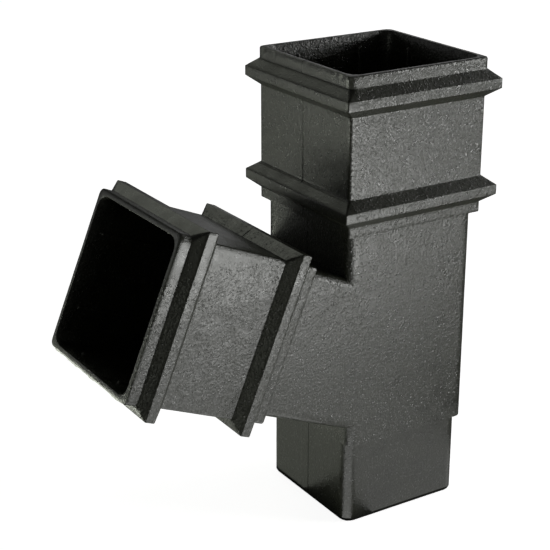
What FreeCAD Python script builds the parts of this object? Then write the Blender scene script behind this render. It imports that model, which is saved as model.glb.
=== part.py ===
import FreeCAD, Part
import math
import os

# A square downpipe y-branch, moulded in one piece. Lengths are in millimetres.
# Z is the axis of the main pipe and the origin is the centre of the spigot's lower end.
# The branch points towards -X and upwards, and the part is symmetric about the plane Y = 0.

# Spigot, the plain lower end that goes into the socket of the next pipe
spigot_width = 65.0
spigot_length = 41.0
spigot_wall = 3.0
spigot_corner_radius = 5.0
spigot_end_chamfer = 1.2

# Body, the square pipe between the spigot and the two sockets
body_width = 68.5
body_wall = 3.0
body_corner_radius = 4.0
bore_corner_radius = 2.0

# Places of the two sockets, with the branch's angle above the horizontal
main_rim_height = 217.0
branch_angle = 22.5
branch_axis_height = 73.6
branch_reach = 144.0

# Socket, the same at the top of the main pipe and at the mouth of the branch
socket_clearance = 1.2
socket_wall = 3.0
socket_depth = 66.0
socket_corner_radius = 1.5
socket_bore_radius = 4.0
lip_width = 75.0
lip_height = 5.3
lip_corner_radius = 3.0
lip_edge_chamfer = 0.7
lead_in_width = 1.2
lead_in_height = 2.5
plain_height = 36.6
band_height = 4.9

# Beads, the two chamfered bands round each socket
bead_projection = 5.1
bead_slope_height = 4.1
bead_face_height = 4.4
bead_corner_radius = 0.8

# Ribs inside each socket, which centre the pipe that is pushed in
ribs_per_wall = 2
rib_spacing = 35.0
rib_radius = 1.1
rib_projection = 0.9
rib_top_depth = 4.5
rib_taper_height = 2.5

# How far a cutting shape runs past the end that it opens
cut_past = 5.0

# Derived sizes
Z_AXIS = FreeCAD.Vector(0, 0, 1)
Y_AXIS = FreeCAD.Vector(0, 1, 0)
ORIGIN = FreeCAD.Vector(0, 0, 0)
body_bore_width = body_width - 2 * body_wall
spigot_bore_width = spigot_width - 2 * spigot_wall
socket_bore_width = spigot_width + 2 * socket_clearance
socket_width = socket_bore_width + 2 * socket_wall
bead_width = socket_width + 2 * bead_projection
body_floor = spigot_length + body_wall


def on_circle(centre, radius, degrees):
    """Point of a horizontal circle at an angle from the X axis."""
    angle = math.radians(degrees)
    return centre + FreeCAD.Vector(radius * math.cos(angle), radius * math.sin(angle), 0)


def rounded_outline(low_x, high_x, half_y, radius, height):
    """Outline of a rectangle with rounded corners, symmetric about the plane Y = 0."""
    low = low_x + radius
    high = high_x - radius
    side = half_y - radius
    arcs = []
    for quarter, (x, y) in enumerate([(high, side), (low, side), (low, -side), (high, -side)]):
        centre = FreeCAD.Vector(x, y, height)
        start = 90 * quarter
        arcs.append(Part.Arc(*[on_circle(centre, radius, start + turn) for turn in (0, 45, 90)]))
    edges = []
    for arc, following in zip(arcs, arcs[1:] + arcs[:1]):
        edges.append(arc.toShape())
        edges.append(Part.LineSegment(arc.EndPoint, following.StartPoint).toShape())
    return Part.Wire(edges)


def rounded_square(width, radius, height):
    """Outline of a square with rounded corners, centred on the Z axis."""
    return rounded_outline(-width / 2, width / 2, width / 2, radius, height)


def prism(outline, length):
    """Solid that stands on a horizontal outline."""
    return Part.Face(outline).extrude(Z_AXIS * length)


def onto_branch(shape, distance):
    """Copy of a shape turned from the Z axis onto the branch's axis, a distance out along it."""
    turned = shape.copy()
    turned.translate(Z_AXIS * distance)
    turned.rotate(ORIGIN, Y_AXIS, branch_angle - 90)
    turned.translate(Z_AXIS * branch_axis_height)
    return turned


def onto_main(shape):
    """Copy of a socket shape, whose rim is at the origin, raised to the top of the main pipe."""
    raised = shape.copy()
    raised.translate(Z_AXIS * main_rim_height)
    return raised


def junction(width, foot_width, foot_height, radius):
    """Column and branch of one square section, with their sides in line and a mitre between them.

    Below the branch the column is cut back to foot_width, so that it runs flush into the spigot.
    """
    column_end = main_rim_height - socket_depth
    column = prism(rounded_square(width, radius, branch_axis_height), column_end - branch_axis_height)
    foot_outline = rounded_outline(-foot_width / 2, width / 2, width / 2, radius, foot_height)
    foot = prism(foot_outline, branch_axis_height - foot_height)
    branch = prism(rounded_square(width, radius, 0), branch_reach - socket_depth)
    return column.fuse([foot, onto_branch(branch, 0)])


def socket_outside():
    """Lip, bead, plain wall, second bead and band, below a rim at the origin."""
    bead_height = 2 * bead_slope_height + bead_face_height
    height = plain_height + band_height + 2 * bead_height
    wall = prism(rounded_square(socket_width, socket_corner_radius, -lip_height - height), height)
    first_bead_top = -lip_height
    second_bead_top = first_bead_top - bead_height - plain_height
    first_bead = bead(first_bead_top, lip_width, lip_corner_radius)
    second_bead = bead(second_bead_top, socket_width, socket_corner_radius)
    return wall.fuse([lip(), first_bead, second_bead])


def lip():
    """Plain rim of the socket, with its outer edge eased."""
    solid = prism(rounded_square(lip_width, lip_corner_radius, -lip_height), lip_height)
    rim_edges = [edge for edge in solid.Edges if edge.BoundBox.ZMin > -lip_edge_chamfer]
    return solid.makeChamfer(lip_edge_chamfer, rim_edges)


def bead(top, width_above, radius_above):
    """Band that slopes out from what is above it, runs flat and slopes back to the wall."""
    face_top = top - bead_slope_height
    face_bottom = face_top - bead_face_height
    bottom = face_bottom - bead_slope_height
    outlines = [
        rounded_square(width_above, radius_above, top),
        rounded_square(bead_width, bead_corner_radius, face_top),
        rounded_square(bead_width, bead_corner_radius, face_bottom),
        rounded_square(socket_width, socket_corner_radius, bottom),
    ]
    return Part.makeLoft(outlines, True, True)


def socket_bore():
    """Space for the pipe, from the stop up past the rim, with a flared lead-in at the rim."""
    outline = rounded_square(socket_bore_width, socket_bore_radius, -socket_depth)
    bore = prism(outline, socket_depth + cut_past)
    rim_width = socket_bore_width + 2 * lead_in_width
    rim_radius = socket_bore_radius + lead_in_width
    flare_outlines = [
        rounded_square(socket_bore_width, socket_bore_radius, -lead_in_height),
        rounded_square(rim_width, rim_radius, 0),
    ]
    flare = Part.makeLoft(flare_outlines, True, True)
    opening = prism(rounded_square(rim_width, rim_radius, 0), cut_past)
    return bore.fuse([flare, opening])


def socket_ribs():
    """Ribs on the four walls of a socket, standing on its stop and tapered at the top."""
    into_wall = rib_radius - rib_projection
    centre_x = socket_bore_width / 2 + into_wall
    taper_start = -rib_top_depth - rib_taper_height
    bar = Part.makeCylinder(
        rib_radius, taper_start + socket_depth, FreeCAD.Vector(centre_x, 0, -socket_depth)
    )
    taper = Part.makeCone(rib_radius, into_wall, rib_taper_height, FreeCAD.Vector(centre_x, 0, taper_start))
    rib = bar.fuse(taper)
    first = -rib_spacing * (ribs_per_wall - 1) / 2
    ribs = []
    for quarter in range(4):
        for place in range(ribs_per_wall):
            copy = rib.copy()
            copy.translate(Y_AXIS * (first + place * rib_spacing))
            copy.rotate(ORIGIN, Z_AXIS, 90 * quarter)
            ribs.append(copy)
    return ribs


def spigot():
    """Plain square end, chamfered round its lower outer edge to lead it into a socket."""
    solid = prism(rounded_square(spigot_width, spigot_corner_radius, 0), body_floor)
    lower_edges = [edge for edge in solid.Edges if edge.BoundBox.ZMax < spigot_end_chamfer]
    return solid.makeChamfer(spigot_end_chamfer, lower_edges)


def spigot_bore():
    """Space inside the spigot, from past its end to the floor of the body."""
    return prism(rounded_square(spigot_bore_width, bore_corner_radius, -cut_past), body_floor + cut_past)


def y_branch():
    """The whole moulding: its outside less its inside, with the ribs added in the sockets."""
    outside = junction(body_width, spigot_width, spigot_length, body_corner_radius)
    outside = outside.fuse([spigot(), onto_main(socket_outside()), onto_branch(socket_outside(), branch_reach)])
    inside = junction(body_bore_width, spigot_bore_width, body_floor, bore_corner_radius)
    inside = inside.fuse([spigot_bore(), onto_main(socket_bore()), onto_branch(socket_bore(), branch_reach)])
    ribs = socket_ribs()
    ribs_in_place = [onto_main(rib) for rib in ribs] + [onto_branch(rib, branch_reach) for rib in ribs]
    return outside.cut(inside).fuse(ribs_in_place).removeSplitter()


def main():
    os.makedirs("parts", exist_ok=True)
    y_branch().exportStep("parts/y_branch.step")


main()
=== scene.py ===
import math
from dataclasses import dataclass, replace

import bmesh
import bpy
from mathutils import Matrix, Vector


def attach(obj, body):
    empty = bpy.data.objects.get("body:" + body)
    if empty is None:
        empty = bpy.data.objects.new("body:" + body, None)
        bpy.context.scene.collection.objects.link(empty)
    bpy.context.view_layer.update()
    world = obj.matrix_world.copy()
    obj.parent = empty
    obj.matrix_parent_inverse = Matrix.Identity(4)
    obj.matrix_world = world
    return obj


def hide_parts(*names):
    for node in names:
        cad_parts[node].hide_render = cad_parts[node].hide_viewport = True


bl_info = {
    "name": "Square downpipe branch",
    "version": (1, 0, 0),
    "blender": (4, 5, 0),
    "location": "View3D > Sidebar > Downpipe",
    "description": "Models a moulded square downpipe branch, its finish and the studio round it",
    "category": "Object",
}

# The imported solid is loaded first. Everything below is in metres, in its frame: Z is the axis of the
# main pipe, the branch leaves towards -X and the part is the same on both sides of the plane Y = 0.
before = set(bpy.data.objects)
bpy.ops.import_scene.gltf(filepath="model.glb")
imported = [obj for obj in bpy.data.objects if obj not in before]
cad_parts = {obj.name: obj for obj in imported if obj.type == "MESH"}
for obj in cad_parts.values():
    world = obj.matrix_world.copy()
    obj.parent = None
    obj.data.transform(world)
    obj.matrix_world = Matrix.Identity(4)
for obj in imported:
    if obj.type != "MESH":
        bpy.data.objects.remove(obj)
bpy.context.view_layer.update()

MM = 0.001
SOLID = "y_branch"
PIECE = "moulding"
SLOT = "textured_plastic"
TEXTURED = "textured"

# Distance within which vertices are one, precision of a cut, and distance by which two rings of one level
# are held apart while they are joined
WELD = 0.02 * MM
CUT_PRECISION = 0.0001 * MM
HELD_APART = 20 * MM


def length(name, description, default):
    """Property for a length in metres."""
    return bpy.props.FloatProperty(name=name, description=description, default=default, unit="LENGTH")


def strength(name, description, default):
    """Property for a plain number from 0 up."""
    return bpy.props.FloatProperty(name=name, description=description, default=default, min=0)


def share(name, description, default):
    """Property for a plain number from 0 to 1."""
    return bpy.props.FloatProperty(
        name=name, description=description, default=default, min=0, max=1, subtype="FACTOR"
    )


def colour(name, description, default):
    """Property for a colour."""
    return bpy.props.FloatVectorProperty(
        name=name, description=description, default=default, size=3, min=0, max=1, subtype="COLOR"
    )


class MouldingSizes(bpy.types.PropertyGroup):
    """Sizes of the moulding."""

    spigot_width: length("Spigot width", "Outer width of the lower end", 65 * MM)
    spigot_length: length("Spigot length", "Height of the ledge above the lower end", 41 * MM)
    spigot_radius: length("Spigot corner", "Radius of the spigot's corners", 5 * MM)
    spigot_rounding: length("Spigot end rounding", "Radius round the lower end", 1.3 * MM)
    body_width: length("Body width", "Outer width of the pipe between the sockets", 68.5 * MM)
    body_radius: length("Body corner", "Radius of the pipe's corners", 4 * MM)
    bore_radius: length("Bore corner", "Radius of the corners inside the pipe", 2 * MM)
    wall: length("Wall", "Thickness of the walls", 3 * MM)
    rim_height: length("Rim height", "Height of the main socket's rim", 217 * MM)
    branch_angle: bpy.props.FloatProperty(
        name="Branch angle",
        description="Angle of the branch above the horizontal",
        default=math.radians(22.5),
        unit="ROTATION",
        subtype="ANGLE",
    )
    branch_height: length("Branch height", "Height at which the two axes meet", 73.6 * MM)
    branch_reach: length("Branch reach", "Distance from the axis to the branch's rim", 144 * MM)
    socket_bore: length("Socket bore", "Width inside a socket", 67.4 * MM)
    socket_bore_radius: length("Socket bore corner", "Radius of the corners inside a socket", 4 * MM)
    socket_depth: length("Socket depth", "Depth of a socket down to its stop", 66 * MM)
    socket_width: length("Socket width", "Outer width of a socket's plain wall", 73.4 * MM)
    socket_radius: length("Socket corner", "Radius of a socket's outer corners", 1.5 * MM)
    lip_width: length("Lip width", "Outer width of a socket's lip", 75 * MM)
    lip_height: length("Lip height", "Height of a socket's lip", 5.3 * MM)
    lip_radius: length("Lip corner", "Radius of a lip's corners", 3 * MM)
    lip_rounding: length("Lip rounding", "Radius round a lip's outer edge", 0.7 * MM)
    lead_in_width: length("Lead-in width", "Width by which the rim opens out", 1.2 * MM)
    lead_in_height: length("Lead-in height", "Depth over which the rim opens out", 9 * MM)
    rim_rounding: length("Rim rounding", "Radius round a rim's inner edge", 0.2 * MM)
    plain_height: length("Plain height", "Height of the wall between the two beads", 36.6 * MM)
    band_height: length("Band height", "Height of the band below the second bead", 4.9 * MM)
    bead_width: length("Bead width", "Outer width of a bead", 83.6 * MM)
    bead_slope: length("Bead slope height", "Height of each slope of a bead", 4.1 * MM)
    bead_face: length("Bead face height", "Height of the flat face of a bead", 4.4 * MM)
    bead_radius: length("Bead corner", "Radius of a bead's corners", 0.8 * MM)
    crest_rounding: length("Crest rounding", "Radius along outward edges", 0.45 * MM)
    valley_rounding: length("Valley rounding", "Radius along inward edges", 0.3 * MM)
    rib_spacing: length("Rib spacing", "Distance between the two ribs on a wall", 35 * MM)
    rib_radius: length("Rib radius", "Radius of a rib", 1.1 * MM)
    rib_projection: length("Rib projection", "How far a rib stands out of its wall", 0.9 * MM)
    rib_top: length("Rib top", "Distance of a rib's top below the rim", 5.5 * MM)
    outer_step: length("Outer mesh step", "Distance between rows of the mesh outside", 1.3 * MM)
    inner_step: length("Inner mesh step", "Distance between rows of the mesh inside", 4 * MM)
    edge_wander: length("Edge wander", "How far an untidy edge wanders", 0.2 * MM)


class FinishSettings(bpy.types.PropertyGroup):
    """Colour and surface of the moulded plastic."""

    plastic: colour("Plastic", "Colour of the plastic", (0.0105, 0.0115, 0.0068))
    # Partly wear, partly painted highlight: the paler colour that the sharp edges get.
    edge_wear_and_highlight: colour("Worn", "Colour of rubbed and dusty edges", (0.06, 0.06, 0.055))
    # Painted shade: the darker colour inside the small pits stands in for the shade that falls in them.
    pit_shade: colour("Pit", "Colour inside the small pits", (0.004, 0.004, 0.004))
    roughness: share("Roughness", "Mean roughness of the surface", 0.33)
    roughness_range: share("Roughness range", "How far the roughness wanders", 0.06)
    pimple_gloss: share("Pimple gloss", "How much smoother the pimples are", 0.1)
    reflection_tint: colour("Reflection tint", "Tint of what the plastic reflects", (0.99, 1.0, 0.975))
    refraction: strength("Refraction", "Refractive index of the plastic's glossy skin", 1.75)
    mottle_size: length("Mottle size", "Size of clouds in colour and gloss", 9 * MM)
    cast_size: length("Cast size", "Size of the cast texture's lumps", 2.6 * MM)
    cast_depth: length("Cast depth", "Depth of the cast texture's lumps", 0.2 * MM)
    pimple_spacing: length("Pimple spacing", "Distance between pimples", 1.3 * MM)
    pimple_radius: length("Pimple radius", "Radius of the pimples", 0.5 * MM)
    pimple_height: length("Pimple height", "Height of the tallest pimples", 0.26 * MM)
    pit_spacing: length("Pit spacing", "Distance between pits", 6 * MM)
    pit_radius: length("Pit radius", "Radius of the pits", 0.6 * MM)
    pit_depth: length("Pit depth", "Depth of the pits", 0.14 * MM)
    grain_size: length("Grain size", "Size of the finest grain", 1.0 * MM)
    grain_depth: length("Grain depth", "Depth of the finest grain", 0.18 * MM)
    seam_width: length("Seam width", "Width of the mould's parting seam", 0.9 * MM)
    seam_height: length("Seam height", "Height of the seam", 0.12 * MM)
    seam_dullness: share("Seam dullness", "How much less the seam reflects", 0.9)
    strip_width: length("Strip width", "Width of the flat strip on the spigot", 6 * MM)
    strip_height: length("Strip height", "Height of the strip", 0.1 * MM)
    blotch_spacing: length("Blotch spacing", "Distance between dull blotches", 8 * MM)
    blotch_radius: length("Blotch radius", "Radius of the blotches", 2.2 * MM)
    blotch_share: share("Blotch dullness", "How much less a blotch reflects", 0.08)
    fleck_size: length("Fleck size", "Size of the light and dark flecks", 0.9 * MM)
    fleck_share: strength("Flecks", "How much more or less the flecks reflect", 0.85)
    pimple_shine: strength("Pimple shine", "How much more the tops of the pimples reflect", 0.8)
    spigot_share: share("Spigot texture", "How much of the texture the spigot has", 0.5)
    side_share: share("Side texture", "How much of it the main socket has on the branch's side", 0.5)
    side_bead_share: share("Side bead texture", "How much of that is left on the beads there", 0.5)
    swell_size: length("Swell size", "Size of the surface's broad waves", 20 * MM)
    swell_depth: length("Swell depth", "Depth of the broad waves", 0.08 * MM)
    lump_size: length("Lump size", "Size of the lumps that are in the mesh", 4 * MM)
    lump_depth: length("Lump depth", "Depth of the lumps that are in the mesh", 0.06 * MM)


class StageSettings(bpy.types.PropertyGroup):
    """Floor, light and camera."""

    floor_size: length("Floor size", "Width of the floor", 8.0)
    floor_gap: length("Floor gap", "Distance of the floor below the part", 0.2 * MM)
    floor: colour("Floor", "Colour of the floor", (0.86, 0.86, 0.86))
    floor_lift: share("Floor lift", "Light that the floor adds for the camera", 0.91)
    backdrop: colour("Backdrop", "What the camera sees behind the floor", (0.94, 0.94, 0.94))
    floor_bounce: colour("Floor bounce", "Colour of the floor as the part sees it", (0.3, 0.3, 0.3))
    room: colour("Room", "Light of the room round the part", (0.04, 0.04, 0.04))
    lamp_height: length("Lamp height", "Height of the lamps that lie on the floor", 0.002)
    aim_height: length("Aim height", "Height that the softboxes point at", 0.1)
    camera_place: bpy.props.FloatVectorProperty(
        name="Camera",
        description="Place of the camera",
        default=(-0.375896, -0.515855, 0.354567),
        subtype="TRANSLATION",
    )
    camera_turn: bpy.props.FloatVectorProperty(
        name="Camera turn",
        description="Pitch, roll and yaw of the camera",
        default=(math.radians(68.933), 0, math.radians(-32.174)),
        subtype="EULER",
    )
    camera_lens: bpy.props.FloatProperty(
        name="Lens", description="Focal length on a 36 mm wide frame", default=93.92, unit="CAMERA"
    )


class DownpipeSettings(bpy.types.PropertyGroup):
    """All that a user may change."""

    sizes: bpy.props.PointerProperty(type=MouldingSizes)
    finish: bpy.props.PointerProperty(type=FinishSettings)
    stage: bpy.props.PointerProperty(type=StageSettings)


# Tints of the lamps. What the wall above the branch reflects is slightly olive.
WHITE = (1.0, 1.0, 1.0)
OLIVE = (0.96, 1.0, 0.87)

# Lamps that lie on the floor: name, bearing from +X in degrees, distance, width, brightness and tint
FLOOR_LAMPS = (
    ("front_close", 290, 0.082, 0.09, 0.7, WHITE),
    ("front_near", 285, 0.23, 0.2, 0.65, WHITE),
    ("front_left", 262, 0.36, 0.26, 2.1, WHITE),
    ("front_middle", 285, 0.5, 0.34, 6.8, WHITE),
    ("front_far", 285, 0.97, 0.6, 1.4, WHITE),
    ("corner_close", 225, 0.14, 0.14, 1.3, WHITE),
    ("left_close", 148, 0.092, 0.09, 0.37, OLIVE),
    ("left_near", 148, 0.3, 0.2, 3.8, OLIVE),
    ("left_middle", 135, 0.6, 0.35, 0.38, OLIVE),
    ("left_far", 150, 1.0, 0.5, 7.0, OLIVE),
    ("back_left_far", 118, 1.0, 0.5, 0.3, WHITE),
)
# Softboxes: name, bearing and rise in degrees, distance, width, brightness and tint
SOFTBOXES = (
    ("key", 322, 7, 1.3, 0.42, 11.0, WHITE),
    ("left_box", 196, 8, 1.3, 0.4, 0.95, OLIVE),
    ("back_left_box", 130, 8, 1.3, 0.4, 0.45, WHITE),
    ("back_box", 50, 8, 1.3, 0.4, 0.4, WHITE),
    ("rim_box", 54, 21, 1.3, 0.3, 0.6, WHITE),
    ("back_overhead", 90, 40, 1.5, 0.8, 0.64, OLIVE),
    ("right_overhead", 0, 40, 1.5, 0.8, 0.35, WHITE),
    ("corner_box", 350, 27, 1.3, 0.35, 4.0, WHITE),
)

# Marks on the outer edge of a lip, on its side of low X, in millimetres: from Y, to Y and how far the
# edge stands out
BRANCH_EDGE = (
    (-33, 34, 0.3),
    (25, 32, 0.35),
    (9, 20, 0.3),
    (-7, -2, 0.25),
    (-30, -24, 0.2),
)
MAIN_EDGE = (
    (31.4, 32.8, -0.5),
    (21.8, 23.8, -0.4),
    (-4.6, -3.2, -0.5),
    (-26, -24.6, -0.5),
    (-31.3, -29.8, -0.6),
)

# Columns of the mesh on a front wall before and after the place where the three tubes meet, on a side
# wall, round a corner and round a rib
COLUMNS_UPPER = 28
COLUMNS_LOWER = 26
COLUMNS_SIDE = 54
CORNER_STEPS = 4
RIB_COLUMNS = 16

# Rows of a rib's dome and the dome's reach as a share of the rib's radius
DOME_ROWS = 5
DOME_SHARE = 0.95

# Start of the random moves of an untidy edge, and angle up to which two faces are shaded as one surface
EDGE_SEED = 3
SMOOTH_ANGLE = math.radians(35)

# Width of the hair-thin ledge that keeps the spigot's flush side and the pipe above it apart in the mesh
FLUSH = 0.06 * MM

# Width of the camera's frame in millimetres, and distance from which it sees
FRAME_WIDTH = 36
NEAREST = 0.01


def start_piece(name):
    """New empty mesh object, active and in edit mode."""
    bpy.ops.mesh.primitive_plane_add(size=1)
    bpy.context.object.name = name
    bpy.ops.object.mode_set(mode="EDIT")
    bpy.ops.mesh.delete(type="VERT")


def edit_mesh():
    """Mesh of the active object while it is edited, with its vertices ready to be numbered."""
    shape = bmesh.from_edit_mesh(bpy.context.object.data)
    shape.verts.ensure_lookup_table()
    return shape


def pick(kind, find):
    """Selects just the vertices, edges or faces that are found in the edited mesh. Returns how many."""
    bpy.ops.mesh.select_mode(type=kind)
    bpy.ops.mesh.select_all(action="DESELECT")
    shape = edit_mesh()
    found = find(shape)
    for part in found:
        part.select_set(True)
    if kind == "VERT":
        shape.select_flush_mode()
    bmesh.update_edit_mesh(bpy.context.object.data)
    return len(found)


def pick_vertices(numbers):
    """Selects just the vertices with the given numbers."""
    pick("VERT", lambda shape: [shape.verts[number] for number in numbers])


def pick_edges(test, first_vertex=0):
    """Selects just the edges past a vertex number that pass a test. Returns how many."""

    def find(shape):
        return {edge for vertex in shape.verts[first_vertex:] for edge in vertex.link_edges if test(edge)}

    return pick("EDGE", find)


def on_plane(edge, axis, place):
    """Whether an edge lies in a plane across an axis."""
    return all(abs(vertex.co[axis] - place) < WELD for vertex in edge.verts)


@dataclass
class Outline:
    """A horizontal rounded rectangle, from low to high along X and symmetric in Y."""

    low: float
    high: float
    half: float
    radius: float
    height: float
    columns: tuple
    split: float = None

    def moved(self, height):
        """The same outline at another height."""
        return replace(self, height=height)

    def count(self):
        """Number of vertices."""
        return 4 * (CORNER_STEPS + 1) + 2 * (sum(self.columns) - 1) + 2 * (COLUMNS_SIDE - 1)


def square(width, radius, height, columns=(COLUMNS_UPPER, COLUMNS_LOWER)):
    """Outline of a square on the axis, with evenly spaced columns."""
    return Outline(-width / 2, width / 2, width / 2, radius, height, columns)


def subdivide(test, first_vertex, cuts):
    """Cuts the edges that pass a test into equal lengths."""
    if not pick_edges(test, first_vertex):
        raise RuntimeError("no edge to subdivide")
    bpy.ops.mesh.subdivide(number_cuts=cuts)


def add_ring(outline):
    """Adds an outline as a closed ring of edges."""
    start = len(edit_mesh().verts)
    split = outline.split
    middle = Vector(((outline.low + outline.high) / 2, 0, outline.height))
    bpy.ops.mesh.select_all(action="DESELECT")
    bpy.ops.mesh.primitive_plane_add(size=1, location=middle)
    bpy.ops.transform.resize(
        value=(outline.high - outline.low, 2 * outline.half, 1), center_override=middle
    )
    bpy.ops.mesh.bevel(
        offset=outline.radius,
        offset_type="OFFSET",
        segments=CORNER_STEPS,
        affect="VERTICES",
        clamp_overlap=False,
    )
    if split is None:
        bpy.ops.mesh.delete(type="ONLY_FACE")
    else:
        bpy.ops.mesh.bisect(plane_co=(split, 0, 0), plane_no=(1, 0, 0), threshold=CUT_PRECISION)
        pick_edges(lambda edge: on_plane(edge, 0, split), start)
        bpy.ops.mesh.delete(type="EDGE")

    def wall(edge, axis):
        """Whether an edge is a straight side of the outline, along X (0) or along Y (1)."""
        one, two = (vertex.co[1 - axis] for vertex in edge.verts)
        return abs(one - two) < WELD and edge.calc_length() > 3 * outline.radius

    def before_split(edge):
        return (edge.verts[0].co.x + edge.verts[1].co.x) / 2 < split

    subdivide(lambda edge: wall(edge, 1), start, COLUMNS_SIDE - 1)
    if split is None:
        subdivide(lambda edge: wall(edge, 0), start, sum(outline.columns) - 1)
    else:
        low_columns, high_columns = outline.columns
        subdivide(lambda edge: wall(edge, 0) and before_split(edge), start, low_columns - 1)
        subdivide(lambda edge: wall(edge, 0) and not before_split(edge), start, high_columns - 1)
    made = len(edit_mesh().verts) - start
    if made != outline.count():
        raise RuntimeError(f"ring has {made} vertices and not {outline.count()}")


def ring_numbers(place, count):
    """Numbers of a ring's vertices, given its place in the order the rings were made."""
    return range(place * count, (place + 1) * count)


def bridge(first, second, count, cuts):
    """Joins two rings with rows of faces."""
    pick_vertices([*ring_numbers(first, count), *ring_numbers(second, count)])
    before = len(edit_mesh().faces)
    bpy.ops.mesh.bridge_edge_loops(type="SINGLE", number_cuts=cuts, interpolation="LINEAR")
    made = len(edit_mesh().faces) - before
    if made != count * (cuts + 1):
        raise RuntimeError(f"bridge made {made} faces and not {count * (cuts + 1)}")


def bridge_on_level(first, second, count, cuts, height):
    """Joins two rings of one level, held apart meanwhile as they could be joined the wrong way round."""
    pick_vertices(ring_numbers(second, count))
    bpy.ops.transform.translate(value=(0, 0, HELD_APART))
    last = len(edit_mesh().verts)
    bridge(first, second, count, cuts)
    pick_vertices([*ring_numbers(second, count), *range(last, len(edit_mesh().verts))])
    bpy.ops.transform.resize(value=(1, 1, 0), center_override=(0, 0, height))


def chain(outlines, steps):
    """Adds rings one after another and joins each to the next with rows about a step apart."""
    for outline in outlines:
        add_ring(outline)
    count = outlines[0].count()
    for place, step in enumerate(steps):
        one, two = outlines[place], outlines[place + 1]
        distance = math.hypot(two.height - one.height, two.half - one.half)
        cuts = max(0, round(distance / step) - 1)
        if abs(two.height - one.height) < WELD:
            bridge_on_level(place, place + 1, count, cuts, one.height)
        else:
            bridge(place, place + 1, count, cuts)


def rounded_profile(corners):
    """Outlines along a profile of corners (outline, rounding), with three for each rounded corner."""
    made = [corners[0][0]]
    for place in range(1, len(corners) - 1):
        before, here, after = (corners[place + turn][0] for turn in (-1, 0, 1))
        rounding = corners[place][1]
        if not rounding:
            made.append(here)
            continue
        point = Vector((here.half, here.height))
        back = (Vector((before.half, before.height)) - point).normalized()
        ahead = (Vector((after.half, after.height)) - point).normalized()
        half_angle = back.angle(ahead) / 2
        reach = rounding / math.tan(half_angle)
        middle = point + (back + ahead).normalized() * (rounding / math.sin(half_angle) - rounding)
        for spot in (point + back * reach, middle, point + ahead * reach):
            grown = spot.x - here.half
            low, high = here.low - grown, here.high + grown
            made.append(replace(here, low=low, high=high, half=spot.x, height=spot.y))
    made.append(corners[-1][0])
    return made


def mark_edge(half, height, marks, wander):
    """Moves parts of the edge at a height on the side of low X out or in, and makes the edge untidy."""
    places = {
        number: vertex.co.y
        for number, vertex in enumerate(edit_mesh().verts)
        if abs(vertex.co.z - height) < WELD and abs(vertex.co.x + half) < WELD
    }
    for low, high, out in marks:
        pick_vertices([number for number, y in places.items() if low * MM < y < high * MM])
        bpy.ops.transform.translate(value=(-out * MM, 0, 0))
    pick_vertices(places)
    bpy.ops.transform.vertex_random(offset=wander, seed=EDGE_SEED)


def turned_onto_branch(sizes):
    """Matrix from the main pipe's axis onto the branch's."""
    raised = Matrix.Translation((0, 0, sizes.branch_height))
    return raised @ Matrix.Rotation(sizes.branch_angle - math.pi / 2, 4, "Y")


class Mitre:
    """Where the upper tube, the lower tube and the branch meet, in the plane of the two axes."""

    def __init__(self, sizes, half, foot_half):
        tilt = sizes.branch_angle
        self.centre = Vector((0, sizes.branch_height))
        self.along = Vector((-math.cos(tilt), math.sin(tilt)))
        self.across = Vector((math.sin(tilt), math.cos(tilt)))
        above = self.centre.y + half * (1 + math.sin(tilt)) / math.cos(tilt)
        below = self.centre.y - (half - foot_half * math.sin(tilt)) / math.cos(tilt)
        self.upper_corner = Vector((-half, above))
        self.lower_corner = Vector((-foot_half, below))
        upper_turn = (math.pi / 2 + math.pi - tilt) / 2
        lower_turn = (math.pi / 2 - tilt) / 2
        self.upper_line = -Vector((math.cos(upper_turn), math.sin(upper_turn)))
        self.lower_line = Vector((math.cos(lower_turn), math.sin(lower_turn)))
        gap = self.lower_corner - self.upper_corner
        crossed = self.upper_line.x * self.lower_line.y - self.upper_line.y * self.lower_line.x
        distance = (gap.x * self.lower_line.y - gap.y * self.lower_line.x) / crossed
        self.middle = self.upper_corner + self.upper_line * distance

    def on_branch(self, point):
        """A point of the plane in the branch's own X and Z."""
        offset = point - self.centre
        return Vector((offset.dot(self.across), offset.dot(self.along)))


def upright(point):
    """Point of the plane of the two axes, in space."""
    return Vector((point.x, 0, point.y))


def trim(corner, middle, keep, on_side):
    """Cuts the faces on one side of the meeting line at a mitre plane and keeps the part towards keep."""
    line = middle - corner
    normal = Vector((-line.y, line.x)).normalized()
    if (keep - middle).dot(normal) < 0:
        normal = -normal
    if not pick("FACE", lambda shape: [f for f in shape.faces if on_side(f.calc_center_median())]):
        raise RuntimeError("nothing to trim")
    bpy.ops.mesh.bisect(
        plane_co=upright(middle), plane_no=upright(normal), clear_inner=True, threshold=CUT_PRECISION
    )


def tube(outline, mitre_corners, middle, step):
    """Straight tube from an outline towards the meeting of the tubes, trimmed there by two planes.

    mitre_corners are the planes' outer points on the low and on the high side of X. The rows lie whole
    steps from the middle of the meeting, so that those of the three tubes meet on the planes.
    """
    run = outline.height - middle.y
    rows = math.floor(abs(run) / step - 0.5)
    ahead = math.copysign(step, run)
    add_ring(outline)
    add_ring(outline.moved(middle.y + rows * ahead))
    add_ring(outline.moved(middle.y - ahead))
    bridge(0, 1, outline.count(), 0)
    bridge(1, 2, outline.count(), rows)
    keep = Vector((middle.x, outline.height))
    low_corner, high_corner = mitre_corners
    trim(low_corner, middle, keep, lambda place: place.x < middle.x)
    trim(high_corner, middle, keep, lambda place: place.x > middle.x)


def finish_part(place, outside_half):
    """Leaves edit mode, marks the outer surface for the moulded texture and moves the part into place."""
    bpy.ops.object.mode_set(mode="OBJECT")
    part = bpy.context.object
    textured = part.vertex_groups.new(name=TEXTURED)
    outside = [v.index for v in part.data.vertices if max(abs(v.co.x), abs(v.co.y)) > outside_half]
    textured.add(outside, 1.0, "REPLACE")
    part.data.transform(place)
    return part


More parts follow.
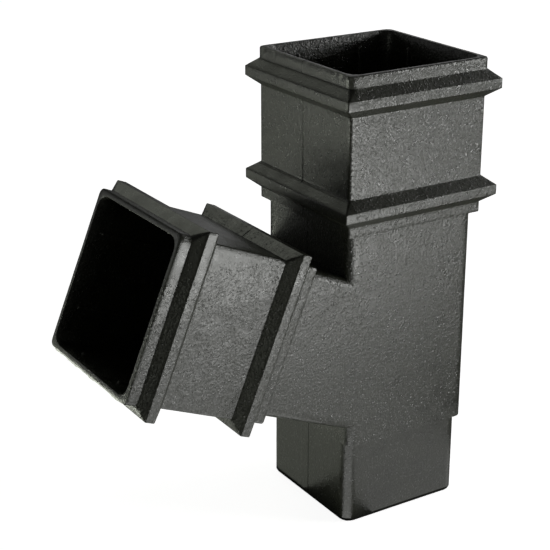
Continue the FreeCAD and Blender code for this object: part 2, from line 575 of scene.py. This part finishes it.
def socket_corners(sizes):
    """Outside of a socket from the rim down, as rows of width, corner radius, step down and rounding."""
    s = sizes
    lip = (s.lip_width, s.lip_radius)
    wall = (s.socket_width, s.socket_radius)
    bead = (s.bead_width, s.bead_radius)
    whole_bead = (
        (*bead, s.bead_slope, s.crest_rounding),
        (*bead, s.bead_face, s.crest_rounding),
        (*wall, s.bead_slope, s.valley_rounding),
    )
    return (
        (*lip, 0, s.lip_rounding),
        (*lip, s.lip_height, s.valley_rounding),
        *whole_bead,
        (*wall, s.plain_height, s.valley_rounding),
        *whole_bead,
        (*wall, s.band_height, s.crest_rounding),
    )


def socket_height(sizes):
    """Height of a socket outside, from the end of its band up to the rim."""
    return sum(step for _, _, step, _ in socket_corners(sizes))


def socket_part(sizes, place, name, body_outline, bore_outline, marks):
    """One socket, from the pipe's outside up over its beads and rim and down to the pipe's bore."""
    s = sizes
    height = 0
    outer = []
    for width, radius, step, rounding in socket_corners(s):
        height -= step
        outer.insert(0, (square(width, radius, height), rounding))
    outer.insert(0, (body_outline.moved(height), 0))
    rim_bore = s.socket_bore + 2 * s.lead_in_width
    rim_radius = s.socket_bore_radius + s.lead_in_width
    inner = [
        (square(rim_bore, rim_radius, 0), s.rim_rounding),
        (square(s.socket_bore, s.socket_bore_radius, -s.lead_in_height), s.crest_rounding),
        (square(s.socket_bore, s.socket_bore_radius, -s.socket_depth), 0),
        (bore_outline.moved(-s.socket_depth), 0),
    ]
    outlines = rounded_profile(outer + inner)
    rim = next(place for place, outline in enumerate(outlines) if outline.height > -WELD)
    steps = [s.outer_step] * (rim + 1) + [s.inner_step] * (len(outlines) - rim - 2)
    start_piece(name)
    chain(outlines, steps)
    mark_edge(s.lip_width / 2, -s.lip_rounding, marks, s.edge_wander)
    return finish_part(place, (s.socket_width + s.socket_bore) / 4)


def spigot_part(sizes, foot_outline, foot_bore):
    """The plain lower end, from the ledge down round the open end and up to the floor inside."""
    s = sizes
    columns = foot_outline.columns
    ledge = s.spigot_length
    bore = s.spigot_width - 2 * s.wall
    outer = [
        (foot_outline.moved(ledge), 0),
        (square(s.spigot_width, s.spigot_radius, ledge, columns), 0),
        (square(s.spigot_width, s.spigot_radius, 0, columns), s.spigot_rounding),
    ]
    inner = [
        (square(bore, s.bore_radius, 0, columns), s.valley_rounding),
        (square(bore, s.bore_radius, ledge + s.wall, columns), 0),
        (foot_bore.moved(ledge + s.wall), 0),
    ]
    outlines = rounded_profile(outer + inner)
    turn = next(place for place, outline in enumerate(outlines) if outline.half < bore / 2 + WELD)
    steps = [s.outer_step] * turn + [s.inner_step] * (len(outlines) - turn - 1)
    start_piece("spigot")
    chain(outlines, steps)
    mark_edge(s.spigot_width / 2, s.spigot_rounding, (), s.edge_wander)
    return finish_part(Matrix(), s.spigot_width / 2 - s.spigot_radius / 3)


class Junction:
    """The three outlines of the outside or the inside of the pipe, and the mitre where they meet."""

    def __init__(self, sizes, half, foot_half, radius):
        self.half = half
        self.mitre = Mitre(sizes, half, foot_half)
        split = self.mitre.middle.x
        branch_split = self.mitre.on_branch(self.mitre.middle).x
        self.upper = Outline(-half, half, half, radius, 0, (COLUMNS_UPPER, COLUMNS_LOWER), split)
        self.foot = Outline(-foot_half, half, half, radius, 0, (COLUMNS_LOWER, COLUMNS_LOWER), split)
        self.branch = Outline(-half, half, half, radius, 0, (COLUMNS_LOWER, COLUMNS_UPPER), branch_split)

    def tubes(self, sizes, below_rim, foot_start, step, outside_half):
        """The three tubes, from a distance below the rims and from a height in the foot to the mitre."""
        mitre = self.mitre
        middle = mitre.middle
        level = Vector((self.half, middle.y))
        branch_middle = mitre.on_branch(middle)
        branch_corners = (mitre.on_branch(mitre.lower_corner), mitre.on_branch(mitre.upper_corner))
        here = Matrix()
        turned = turned_onto_branch(sizes)
        upper_start = sizes.rim_height - below_rim
        branch_start = sizes.branch_reach - below_rim
        rows = (
            ("upper_tube", self.upper, upper_start, (mitre.upper_corner, level), middle, here),
            ("foot_tube", self.foot, foot_start, (mitre.lower_corner, level), middle, here),
            ("branch_tube", self.branch, branch_start, branch_corners, branch_middle, turned),
        )
        parts = []
        for name, outline, start, corners, meeting, place in rows:
            start_piece(name)
            tube(outline.moved(start), corners, meeting, step)
            parts.append(finish_part(place, outside_half))
        return parts


def select(objects):
    """Selects just the given objects and makes the first one active."""
    bpy.ops.object.select_all(action="DESELECT")
    for item in objects:
        item.select_set(True)
    bpy.context.view_layer.objects.active = objects[0]


def join(parts, name):
    """Joins objects into one, which keeps the place of every vertex."""
    select(parts)
    bpy.ops.object.join()
    parts[0].name = name
    return parts[0]


def close(piece):
    """Welds the parts of a mesh together, points its faces outwards and makes sure that it is closed."""
    bpy.ops.object.mode_set(mode="EDIT")
    bpy.ops.mesh.select_all(action="SELECT")
    bpy.ops.mesh.remove_doubles(threshold=WELD)
    bpy.ops.mesh.normals_make_consistent(inside=False)
    open_edges = sum(1 for edge in edit_mesh().edges if not edge.is_manifold)
    bpy.ops.object.mode_set(mode="OBJECT")
    if open_edges:
        raise RuntimeError(f"{piece.name} has {open_edges} edges that don't join two faces")


def rib(sizes):
    """One rib, standing on a socket's stop, with a domed top."""
    s = sizes
    bottom = -s.socket_depth - s.rib_radius
    tall = -s.rib_top - bottom
    bpy.ops.mesh.primitive_cylinder_add(
        vertices=RIB_COLUMNS, radius=s.rib_radius, depth=tall, location=(0, 0, bottom + tall / 2)
    )
    made = bpy.context.object
    made.name = "rib"
    bpy.ops.object.transform_apply(location=True)
    bpy.ops.object.mode_set(mode="EDIT")
    pick_edges(lambda edge: on_plane(edge, 2, -s.rib_top))
    bpy.ops.mesh.bevel(offset=DOME_SHARE * s.rib_radius, segments=DOME_ROWS, affect="EDGES")
    bpy.ops.object.mode_set(mode="OBJECT")
    return made


def ribs(sizes):
    """Two ribs on each wall of both sockets, joined into one object."""
    s = sizes
    first = rib(s)
    out = s.socket_bore / 2 + s.rib_radius - s.rib_projection
    main = Matrix.Translation((0, 0, s.rim_height))
    branch = turned_onto_branch(s) @ Matrix.Translation((0, 0, s.branch_reach))
    copies = []
    for socket in (main, branch):
        for quarter in range(4):
            for side in (-1, 1):
                copy = first.copy()
                copy.data = first.data.copy()
                bpy.context.collection.objects.link(copy)
                wall_place = Matrix.Translation((out, side * s.rib_spacing / 2, 0))
                copy.data.transform(socket @ Matrix.Rotation(quarter * math.pi / 2, 4, "Z") @ wall_place)
                copies.append(copy)
    bpy.data.objects.remove(first)
    return join(copies, "ribs")


def unite(piece, other):
    """Boolean union of a piece with another, which goes."""
    select([piece])
    union = piece.modifiers.new("union", "BOOLEAN")
    union.operation = "UNION"
    union.solver = "EXACT"
    union.object = other
    bpy.ops.object.modifier_apply(modifier=union.name)
    bpy.data.objects.remove(other)


def build_moulding(sizes):
    """The whole moulding as one closed mesh."""
    s = sizes
    half = s.body_width / 2
    bore_half = half - s.wall
    foot_half = s.spigot_width / 2 + FLUSH
    outside = Junction(s, half, foot_half, s.body_radius)
    inside = Junction(s, bore_half, foot_half - s.wall, s.bore_radius)
    outside_half = bore_half + s.wall / 3
    parts = outside.tubes(s, socket_height(s), s.spigot_length, s.outer_step, outside_half)
    parts += inside.tubes(s, s.socket_depth, s.spigot_length + s.wall, s.inner_step, outside_half)
    main = Matrix.Translation((0, 0, s.rim_height))
    branch = turned_onto_branch(s) @ Matrix.Translation((0, 0, s.branch_reach))
    parts.append(socket_part(s, main, "main_socket", outside.upper, inside.upper, MAIN_EDGE))
    parts.append(socket_part(s, branch, "branch_socket", outside.branch, inside.branch, BRANCH_EDGE))
    parts.append(spigot_part(s, outside.foot, inside.foot))
    piece = join(parts, PIECE)
    close(piece)
    unite(piece, ribs(s))
    return piece


# Numbers of a colour mixing node's sockets, several of which share a name
MIX_SHARE = 0
MIX_FIRST = 6
MIX_SECOND = 7
MIX_RESULT = 2


class Nodes:
    """Builds a shader graph, a node at a time."""

    def __init__(self, tree):
        self.tree = tree
        tree.nodes.clear()

    def add(self, kind, inputs=None, **settings):
        """New node with its settings and with its inputs set to values or linked to sockets."""
        node = self.tree.nodes.new(kind)
        for name, value in settings.items():
            setattr(node, name, value)
        for name, value in (inputs or {}).items():
            if isinstance(value, bpy.types.NodeSocket):
                self.tree.links.new(value, node.inputs[name])
            else:
                node.inputs[name].default_value = value
        return node

    def noise(self, place, size, detail, roughness):
        """Value of a noise whose features have the given size."""
        inputs = {"Vector": place, "Scale": 1 / size, "Detail": detail, "Roughness": roughness}
        return self.add("ShaderNodeTexNoise", inputs).outputs["Fac"]

    def remap(self, value, low, high, to_low=0.0, to_high=1.0):
        """Value carried from one range to another and held within it."""
        inputs = {"Value": value, "From Min": low, "From Max": high, "To Min": to_low, "To Max": to_high}
        return self.add("ShaderNodeMapRange", inputs, clamp=True).outputs["Result"]

    def maths(self, operation, one, two=0.0, three=0.0):
        """Result of a calculation with up to three values."""
        node = self.add("ShaderNodeMath", {0: one, 1: two, 2: three}, operation=operation)
        return node.outputs["Value"]

    def times(self, one, two):
        """Product of two values."""
        return self.maths("MULTIPLY", one, two)

    def plus(self, base, value, factor):
        """A base with a value times a factor added to it."""
        return self.maths("MULTIPLY_ADD", value, factor, base)

    def mix_colour(self, share_of_second, first, second):
        """Blend of two colours."""
        inputs = {MIX_SHARE: share_of_second, MIX_FIRST: first, MIX_SECOND: second}
        return self.add("ShaderNodeMix", inputs, data_type="RGBA").outputs[MIX_RESULT]

    def domes(self, place, spacing, radius, lowest):
        """Scattered domes from 0 at their rims up to 1, the lowest only as high as given."""
        cells = self.add("ShaderNodeTexVoronoi", {"Vector": place, "Scale": 1 / spacing})
        reach = self.remap(cells.outputs["Distance"], 0.0, radius / spacing)
        chance = self.add("ShaderNodeSeparateColor", {"Color": cells.outputs["Color"]}).outputs["Red"]
        dome = self.maths("SUBTRACT", 1.0, self.times(reach, reach))
        return self.times(dome, self.remap(chance, 0.0, 1.0, lowest, 1.0))

    def finish(self, shader, kind="ShaderNodeOutputMaterial"):
        """Links the shader to the graph's output."""
        output = self.add(kind)
        self.tree.links.new(shader, output.inputs["Surface"])


def opaque(colour_value):
    """Colour with full alpha."""
    return (*colour_value, 1.0)


def displace(piece, name, size, depth):
    """Presses a cloudy relief into the textured outside, never out of it."""
    clouds = bpy.data.textures.new(name, "CLOUDS")
    clouds.noise_scale = size
    clouds.noise_depth = 2
    relief = piece.modifiers.new(name, "DISPLACE")
    relief.texture = clouds
    relief.texture_coords = "LOCAL"
    relief.strength = depth
    relief.mid_level = 1.0
    relief.vertex_group = TEXTURED
    bpy.ops.object.modifier_apply(modifier=name)


def add_relief(piece, finish):
    """Broad waves and lumps of the moulded surface."""
    select([piece])
    displace(piece, "swell", finish.swell_size, finish.swell_depth)
    displace(piece, "lumps", finish.lump_size, finish.lump_depth)
    bpy.ops.object.shade_smooth_by_angle(angle=SMOOTH_ANGLE)


# Detail and roughness of the noises, and the mean of each
COARSE_NOISE = (3.0, 0.6)
FLECK_NOISE = (2.0, 0.6)
GRAIN_NOISE = (1.0, 0.5)
MEAN_NOISE = 0.5

# Height of the lowest pimples and pits as a share of the highest, the share of their height that pimples
# keep where they are sparse, and the mean of their pattern over the surface
LOWEST_PIMPLE = 0.25
LOWEST_PIT = 0.3
SPARSE = 0.3
MEAN_PIMPLE = 0.15

# Ranges of the mottle over which the pimples crowd, the roughness wanders and the plastic pales, and how
# much paler it gets
CROWDING = (0.35, 0.65)
WANDERING = (0.3, 0.7)
PALING = (0.35, 0.7)
PALEST = 1.5

# Specular level of a plain surface
PLAIN_LEVEL = 0.5

# Sharpness of an edge from not rubbed to rubbed most, and the share of the worn colour there. That paler
# colour on sharp edges is partly wear and partly a painted highlight.
SHARPNESS = (0.52, 0.6)
MOST_WORN_AND_LIT = 0.6

# Where the texture changes on the branch's side: in height from the main socket's foot, and inwards from
# the socket's wall and outwards from it onto the beads
FOOT_FADE = (-2.8 * MM, 2.2 * MM)
WALL_FADE = (0.1 * MM, 0.5 * MM)
BEAD_FADE = (1 * MM, 0.5 * MM)

# Width over which the strip on the spigot falls away
STRIP_EDGE = 0.3 * MM


class PlasticNodes(Nodes):
    """Shader graph of black plastic with a moulded imitation of cast iron's surface."""

    def __init__(self, tree, sizes, finish):
        super().__init__(tree)
        place = self.add("ShaderNodeTexCoord").outputs["Object"]
        self.settings = finish
        self.axes = self.add("ShaderNodeSeparateXYZ", {"Vector": place}).outputs
        self.mottle = self.noise(place, finish.mottle_size, *COARSE_NOISE)
        self.cast = self.noise(place, finish.cast_size, *COARSE_NOISE)
        self.grain = self.noise(place, finish.grain_size, *GRAIN_NOISE)
        self.flecks = self.noise(place, finish.fleck_size, *FLECK_NOISE)
        self.pimples = self.domes(place, finish.pimple_spacing, finish.pimple_radius, LOWEST_PIMPLE)
        self.pits = self.domes(place, finish.pit_spacing, finish.pit_radius, LOWEST_PIT)
        self.blotches = self.domes(place, finish.blotch_spacing, finish.blotch_radius, 0.0)
        ledge = sizes.spigot_length
        self.on_spigot = self.remap(self.axes["Z"], ledge - MM, ledge, 1.0, 0.0)
        wall = -sizes.socket_width / 2
        foot = sizes.rim_height - socket_height(sizes)
        on_socket = self.remap(self.axes["Z"], *(foot + rise for rise in FOOT_FADE))
        on_wall = self.remap(self.axes["X"], *(wall + reach for reach in WALL_FADE), 1.0, 0.0)
        on_wall = self.times(on_wall, on_socket)
        past_wall = self.remap(self.axes["X"], *(wall - reach for reach in BEAD_FADE), 1.0, 0.0)
        on_beads = self.times(past_wall, on_socket)
        self.texture = self.texture_share(on_wall, on_beads)
        self.seam = self.seam_share(on_beads)

    def texture_share(self, on_wall, on_beads):
        """Share of the texture: less on the spigot and on the main socket's side above the branch."""
        finish = self.settings
        texture = self.plus(1.0, self.on_spigot, finish.spigot_share - 1.0)
        texture = self.plus(texture, on_wall, finish.side_share - 1.0)
        kept = self.plus(1.0, on_beads, finish.side_bead_share - 1.0)
        return self.times(texture, kept)

    def seam_share(self, on_beads):
        """1 along the seam down the middle of the branch's side, but not on the beads, and else 0."""
        on_side = self.remap(self.axes["X"], 0.0, MM, 1.0, 0.0)
        on_side = self.times(on_side, self.maths("SUBTRACT", 1.0, on_beads))
        from_middle = self.maths("ABSOLUTE", self.axes["Y"])
        seam = self.remap(from_middle, 0.0, self.settings.seam_width / 2, 1.0, 0.0)
        return self.times(seam, on_side)

    def strip(self):
        """Height of the flat strip beside the seam on the spigot."""
        half = self.settings.strip_width / 2
        from_middle = self.maths("ABSOLUTE", self.maths("SUBTRACT", self.axes["Y"], half))
        height = self.remap(from_middle, half, half + STRIP_EDGE, self.settings.strip_height, 0.0)
        return self.times(height, self.on_spigot)

    def relief(self):
        """Height of the surface in metres: the moulded texture, the seam and the strip."""
        finish = self.settings
        height = self.times(self.cast, finish.cast_depth)
        raised = self.times(self.pimples, self.remap(self.mottle, *CROWDING, SPARSE, 1.0))
        height = self.plus(height, raised, finish.pimple_height)
        height = self.plus(height, self.pits, -finish.pit_depth)
        height = self.plus(height, self.grain, finish.grain_depth)
        height = self.times(height, self.texture)
        height = self.plus(height, self.seam, finish.seam_height)
        return self.maths("ADD", height, self.strip())

    def roughness(self):
        """Roughness, which wanders in clouds and is lower on the pimples."""
        finish = self.settings
        wander = self.remap(self.mottle, *WANDERING, -1.0, 1.0)
        roughness = self.plus(finish.roughness, wander, finish.roughness_range)
        return self.plus(roughness, self.pimples, -finish.pimple_gloss)

    def colour(self):
        """Clouds of two blacks, with painted shade in the pits and paler sharp edges that are partly
        rubbed and partly a painted highlight.
        """
        finish = self.settings
        pale = opaque([PALEST * channel for channel in finish.plastic])
        plastic = self.mix_colour(self.remap(self.mottle, *PALING), opaque(finish.plastic), pale)
        # Painted shade: the pits get the darker pit colour, which stands in for the shade inside them.
        plastic = self.mix_colour(self.pits, plastic, opaque(finish.pit_shade))
        # Sharp convex edges get the paler colour, partly as wear and partly as a painted highlight.
        sharpness = self.add("ShaderNodeNewGeometry").outputs["Pointiness"]
        rubbed_and_lit = self.times(self.remap(sharpness, *SHARPNESS, 0.0, MOST_WORN_AND_LIT), self.mottle)
        return self.mix_colour(rubbed_and_lit, plastic, opaque(finish.edge_wear_and_highlight))

    def reflection(self):
        """Specular level, with dull blotches, fine flecks, bright tops of the pimples and a dull seam."""
        finish = self.settings
        level = PLAIN_LEVEL * (1.0 - MEAN_PIMPLE * finish.pimple_shine)
        level = self.plus(level, self.blotches, -PLAIN_LEVEL * finish.blotch_share)
        flecks = self.times(self.maths("SUBTRACT", self.flecks, MEAN_NOISE), self.texture)
        level = self.plus(level, flecks, finish.fleck_share)
        tops = self.times(self.pimples, self.texture)
        level = self.plus(level, tops, PLAIN_LEVEL * finish.pimple_shine)
        return self.plus(level, self.seam, -PLAIN_LEVEL * finish.seam_dullness)


def plastic_material(sizes, finish):
    """Material of the moulding."""
    material = bpy.data.materials.new(SLOT)
    material.use_nodes = True
    graph = PlasticNodes(material.node_tree, sizes, finish)
    bump = graph.add("ShaderNodeBump", {"Height": graph.relief(), "Strength": 1.0, "Distance": 1.0})
    inputs = {
        "Base Color": graph.colour(),
        "Specular IOR Level": graph.reflection(),
        "Roughness": graph.roughness(),
        "Normal": bump.outputs["Normal"],
        "IOR": finish.refraction,
        "Specular Tint": opaque(finish.reflection_tint),
    }
    graph.finish(graph.add("ShaderNodeBsdfPrincipled", inputs).outputs["BSDF"])
    return material


def floor_material(stage):
    """Pale floor that keeps the part's shadow and throws little light back at it."""
    material = bpy.data.materials.new("floor")
    material.use_nodes = True
    graph = Nodes(material.node_tree)
    seen = graph.add("ShaderNodeLightPath").outputs["Is Camera Ray"]
    shown = graph.add("ShaderNodeBsdfDiffuse", {"Color": opaque(stage.floor)}).outputs["BSDF"]
    lift = graph.add("ShaderNodeEmission", {"Strength": stage.floor_lift}).outputs["Emission"]
    shown = graph.add("ShaderNodeAddShader", {0: shown, 1: lift}).outputs["Shader"]
    bounce = graph.add("ShaderNodeBsdfDiffuse", {"Color": opaque(stage.floor_bounce)}).outputs["BSDF"]
    graph.finish(graph.add("ShaderNodeMixShader", {0: seen, 1: bounce, 2: shown}).outputs["Shader"])
    return material


def light_room(stage):
    """White for the camera and soft light for the part."""
    world = bpy.data.worlds.new("room")
    bpy.context.scene.world = world
    world.use_nodes = True
    graph = Nodes(world.node_tree)
    room = graph.add("ShaderNodeBackground", {"Color": opaque(stage.room)}).outputs["Background"]
    white = graph.add("ShaderNodeBackground", {"Color": opaque(stage.backdrop)}).outputs["Background"]
    seen = graph.add("ShaderNodeLightPath").outputs["Is Camera Ray"]
    mixed = graph.add("ShaderNodeMixShader", {0: seen, 1: room, 2: white}).outputs["Shader"]
    graph.finish(mixed, "ShaderNodeOutputWorld")


def add_floor(stage):
    """Large floor just below the part."""
    bpy.ops.mesh.primitive_plane_add(size=stage.floor_size, location=(0, 0, -stage.floor_gap))
    floor = bpy.context.object
    floor.name = "floor"
    floor.data.materials.append(floor_material(stage))


def add_lamp(name, size, place, target, brightness, tint):
    """Square area lamp that points at a target and that the camera doesn't see."""
    bpy.ops.object.light_add(type="AREA", location=place)
    lamp = bpy.context.object
    lamp.name = name
    lamp.data.shape = "SQUARE"
    lamp.data.size = size
    lamp.data.energy = brightness * math.pi * size * size
    lamp.data.color = tint
    lamp.rotation_euler = (target - place).to_track_quat("-Z", "Y").to_euler()
    lamp.visible_camera = False


def add_lamps(stage):
    """Flat lamps that lie on the floor round the part and softboxes that stand further off."""
    for name, bearing, distance, size, brightness, tint in FLOOR_LAMPS:
        turn = Matrix.Rotation(math.radians(bearing), 3, "Z")
        place = turn @ Vector((distance, 0, stage.lamp_height))
        add_lamp(name, size, place, place + Vector((0, 0, 1)), brightness, tint)
    aim = Vector((0, 0, stage.aim_height))
    for name, bearing, rise, distance, size, brightness, tint in SOFTBOXES:
        turn = Matrix.Rotation(math.radians(bearing), 3, "Z")
        turn = turn @ Matrix.Rotation(math.radians(-rise), 3, "Y")
        add_lamp(name, size, aim + turn @ Vector((distance, 0, 0)), aim, brightness, tint)


def add_camera(stage):
    """Camera at the photograph's place."""
    bpy.ops.object.camera_add(location=stage.camera_place, rotation=stage.camera_turn)
    camera = bpy.context.object
    camera.data.sensor_width = FRAME_WIDTH
    camera.data.lens = stage.camera_lens
    camera.data.clip_start = NEAREST
    bpy.context.scene.camera = camera


class BuildMoulding(bpy.types.Operator):
    """Models the moulding and gives it its finish"""

    bl_idname = "downpipe.build_moulding"
    bl_label = "Moulding"

    def execute(self, context):
        settings = context.scene.downpipe
        piece = build_moulding(settings.sizes)
        add_relief(piece, settings.finish)
        piece.data.materials.clear()
        piece.data.materials.append(plastic_material(settings.sizes, settings.finish))
        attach(piece, "root")
        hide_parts(SOLID)
        return {"FINISHED"}


class BuildStage(bpy.types.Operator):
    """Adds the floor, the light and the camera"""

    bl_idname = "downpipe.build_stage"
    bl_label = "Stage"

    def execute(self, context):
        stage = context.scene.downpipe.stage
        add_floor(stage)
        light_room(stage)
        add_lamps(stage)
        add_camera(stage)
        context.scene.view_settings.view_transform = "Standard"
        return {"FINISHED"}


class DownpipePanel(bpy.types.Panel):
    """Lists the steps and their settings"""

    bl_idname = "VIEW3D_PT_downpipe"
    bl_label = "Square downpipe branch"
    bl_space_type = "VIEW_3D"
    bl_region_type = "UI"
    bl_category = "Downpipe"

    def draw(self, context):
        layout = self.layout
        for operator in OPERATORS:
            layout.operator(operator.bl_idname)
        settings = context.scene.downpipe
        for group in (settings.sizes, settings.finish, settings.stage):
            box = layout.box()
            for name in group.bl_rna.properties.keys():
                if name not in ("rna_type", "name"):
                    box.prop(group, name)


OPERATORS = (BuildMoulding, BuildStage)
CLASSES = (MouldingSizes, FinishSettings, StageSettings, DownpipeSettings, *OPERATORS, DownpipePanel)


def register():
    for item in CLASSES:
        bpy.utils.register_class(item)
    bpy.types.Scene.downpipe = bpy.props.PointerProperty(type=DownpipeSettings)


def unregister():
    del bpy.types.Scene.downpipe
    for item in reversed(CLASSES):
        bpy.utils.unregister_class(item)


def main():
    """Registers the add-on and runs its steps."""
    register()
    bpy.ops.downpipe.build_moulding()
    bpy.ops.downpipe.build_stage()
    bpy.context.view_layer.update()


if __name__ == "__main__":
    main()
